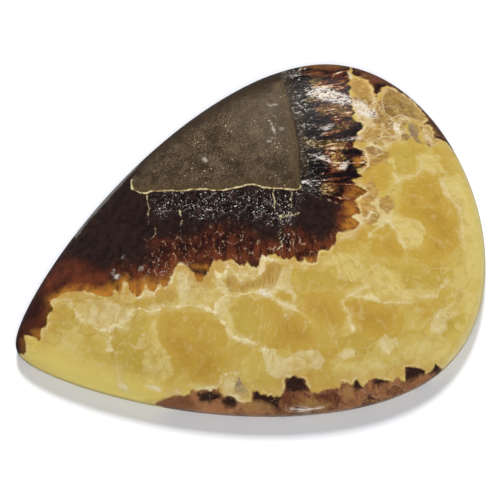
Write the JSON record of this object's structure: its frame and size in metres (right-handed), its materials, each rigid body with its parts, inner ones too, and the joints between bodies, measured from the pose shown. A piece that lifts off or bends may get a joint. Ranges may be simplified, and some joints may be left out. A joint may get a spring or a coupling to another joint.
{
  "type": "pear cut calcite gemstone",
  "caption": "Polished pear cut cabochon with a flat back, thin girdle and low dome, in yellow calcite banded with brown aragonite and grey mudstone, for a bezel setting or display.",
  "frame": {"origin": "middle of the flat back, under the middle of the stone's length and width", "axes": "+X from the tip towards the round end, along the length; +Z out of the dome, away from the flat back; +Y across the width"},
  "size_m": [0.042, 0.0304, 0.007],
  "materials": {
    "banded_calcite": "high polish, yellow calcite with dark brown aragonite bands and grey brown mudstone"
  },
  "bodies": {
    "root": {"pear_cabochon": "banded_calcite"}
  },
  "joints": []
}
